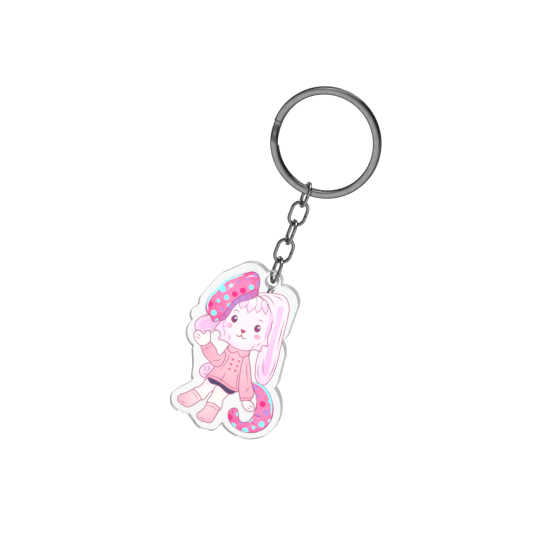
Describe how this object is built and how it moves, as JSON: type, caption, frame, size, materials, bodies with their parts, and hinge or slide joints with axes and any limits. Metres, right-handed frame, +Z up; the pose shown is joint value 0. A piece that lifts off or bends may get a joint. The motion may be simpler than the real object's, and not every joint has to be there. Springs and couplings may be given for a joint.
{
  "type": "keychain",
  "caption": "Keychain with a two-coil split ring, a short chain of oval links and a flat clear acrylic charm with a printed front.",
  "frame": {"origin": "centre of the split ring, which is what a key or a finger holds", "axes": "+Z up along the hanging chain, -Y out of the charm's printed face, +X to the right as the print is seen"},
  "size_m": [0.0333, 0.0058, 0.1012],
  "materials": {
    "ring_steel": "polished gunmetal plate",
    "link_steel": "polished gunmetal plate",
    "clear_acrylic": "clear, laser cut",
    "white_ink": "smooth print",
    "colour_ink": "smooth print"
  },
  "bodies": {
    "split_ring": {"split_ring": "ring_steel"},
    "link_1": {"link_1": "link_steel"},
    "link_2": {"link_2": "link_steel"},
    "link_3": {"link_3": "link_steel"},
    "link_4": {"link_4": "link_steel"},
    "link_5": {"link_5": "link_steel"},
    "charm": {"acrylic_plate": "clear_acrylic", "white_ink": "white_ink", "colour_ink": "colour_ink"}
  },
  "joints": [
    {"name": "link_1_on_ring", "type": "hinge", "parent": "split_ring", "child": "link_1", "pos_m": [0, 0, -0.01407], "axis": [0.8988, 0.4384, 0], "range_deg": [-110, 110]},
    {"name": "link_2_on_link_1", "type": "hinge", "parent": "link_1", "child": "link_2", "pos_m": [0, 0, -0.01842], "axis": [0.4384, -0.8988, 0], "range_deg": [-85, 85]},
    {"name": "link_3_on_link_2", "type": "hinge", "parent": "link_2", "child": "link_3", "pos_m": [0, 0, -0.02388], "axis": [0.8988, 0.4384, 0], "range_deg": [-80, 80]},
    {"name": "link_4_on_link_3", "type": "hinge", "parent": "link_3", "child": "link_4", "pos_m": [0, 0, -0.02934], "axis": [-0.4384, 0.8988, 0], "range_deg": [-85, 85]},
    {"name": "link_5_on_link_4", "type": "hinge", "parent": "link_4", "child": "link_5", "pos_m": [0, 0, -0.0348], "axis": [-0.8988, -0.4384, 0], "range_deg": [-100, 100]},
    {"name": "charm_on_link_5", "type": "hinge", "parent": "link_5", "child": "charm", "pos_m": [0, 0, -0.04048], "axis": [0, 1, 0], "range_deg": [-65, 35]}
  ]
}
